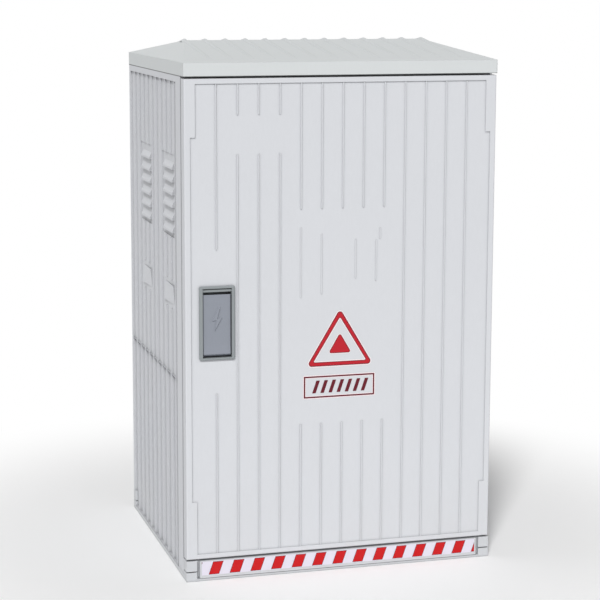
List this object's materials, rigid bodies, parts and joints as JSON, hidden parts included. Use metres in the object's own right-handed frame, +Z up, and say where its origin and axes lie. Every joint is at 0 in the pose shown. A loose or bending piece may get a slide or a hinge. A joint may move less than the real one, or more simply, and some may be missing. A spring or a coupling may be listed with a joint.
{
  "type": "cable distribution cabinet",
  "caption": "Free-standing street cabinet for cable distribution with ribbed hinged door, rod lock behind a folding flap, hipped roof, louvred sides and a fuse rail interior.",
  "frame": {"origin": "centre of the footprint, on the ground", "axes": "+X to the right seen from the front, the door faces -Y, +Z up"},
  "size_m": [0.7, 0.606, 1.1615],
  "materials": {
    "panel_grey": "moulded, matt",
    "roof_grey": "moulded, matt",
    "base_grey": "moulded, matt",
    "handle_grey": "moulded, matt",
    "flap_grey": "moulded, satin",
    "zinc_steel": "zinc plated",
    "dark_plastic": "moulded, matt",
    "seal_rubber": "matt",
    "copper_bar": "bare metal",
    "fuse_white": "glazed ceramic"
  },
  "bodies": {
    "cabinet": {"front_posts": "panel_grey", "foot_frame": "base_grey", "sill_frame": "base_grey", "threshold_bar": "base_grey", "kick_panel": "base_grey", "left_side_panel": "panel_grey", "right_side_panel": "panel_grey", "back_panel": "panel_grey", "roof": "roof_grey", "header_bar": "base_grey", "upper_hinge_bracket": "zinc_steel", "lower_hinge_bush": "dark_plastic", "rod_keepers": "zinc_steel", "mounting_rails": "zinc_steel", "clamp_rail": "zinc_steel", "busbar_carriers": "dark_plastic", "busbars": "copper_bar", "fuse_rails": "dark_plastic", "fuse_links": "fuse_white", "cable_terminals": "copper_bar", "neutral_bar": "copper_bar", "neutral_brackets": "zinc_steel", "cable_saddles": "dark_plastic", "tie_bolts": "zinc_steel", "foot_screws": "zinc_steel", "kick_screws": "zinc_steel", "back_bolts": "zinc_steel", "header_screws": "zinc_steel", "roof_screws": "zinc_steel", "bracket_screws": "zinc_steel"},
    "door": {"door_panel": "panel_grey", "door_stiles": "panel_grey", "door_rails": "panel_grey", "door_corner_blocks": "panel_grey", "door_stiffeners": "panel_grey", "door_gasket": "seal_rubber", "hinge_pins": "zinc_steel", "handle_housing": "handle_grey", "flap_pin": "zinc_steel", "lock_plate": "zinc_steel", "lock_plate_screws": "zinc_steel", "rod_guides": "dark_plastic"},
    "flap": {"handle_flap": "flap_grey"},
    "lock": {"lock_spindle": "zinc_steel", "lock_gear": "zinc_steel", "centre_tongue": "zinc_steel", "tongue_nut": "zinc_steel"},
    "upper_rod": {"upper_lock_rod": "zinc_steel", "upper_rack": "zinc_steel"},
    "lower_rod": {"lower_lock_rod": "zinc_steel", "lower_rack": "zinc_steel"}
  },
  "joints": [
    {"name": "door_hinge", "type": "hinge", "parent": "cabinet", "child": "door", "pos_m": [0.34, -0.285, 0.045], "axis": [0, 0, 1], "range_deg": [0, 110]},
    {"name": "flap_hinge", "type": "hinge", "parent": "door", "child": "flap", "pos_m": [-0.2795, -0.292, 0.5027], "axis": [1, 0, 0], "range_deg": [0, 80]},
    {"name": "lock_turn", "type": "hinge", "parent": "door", "child": "lock", "pos_m": [-0.2795, -0.28, 0.565], "axis": [0, 1, 0], "range_deg": [0, 90]},
    {"name": "upper_rod_slide", "type": "slide", "parent": "door", "child": "upper_rod", "axis": [0, 0, 1], "range_m": [0, 0.02199]},
    {"name": "lower_rod_slide", "type": "slide", "parent": "door", "child": "lower_rod", "axis": [0, 0, -1], "range_m": [0, 0.022]}
  ],
  "couplings": [
    {"joint": "lock_turn", "follows": "upper_rod_slide", "rad_per_m": 71.429},
    {"joint": "lower_rod_slide", "follows": "upper_rod_slide", "ratio": 1}
  ]
}
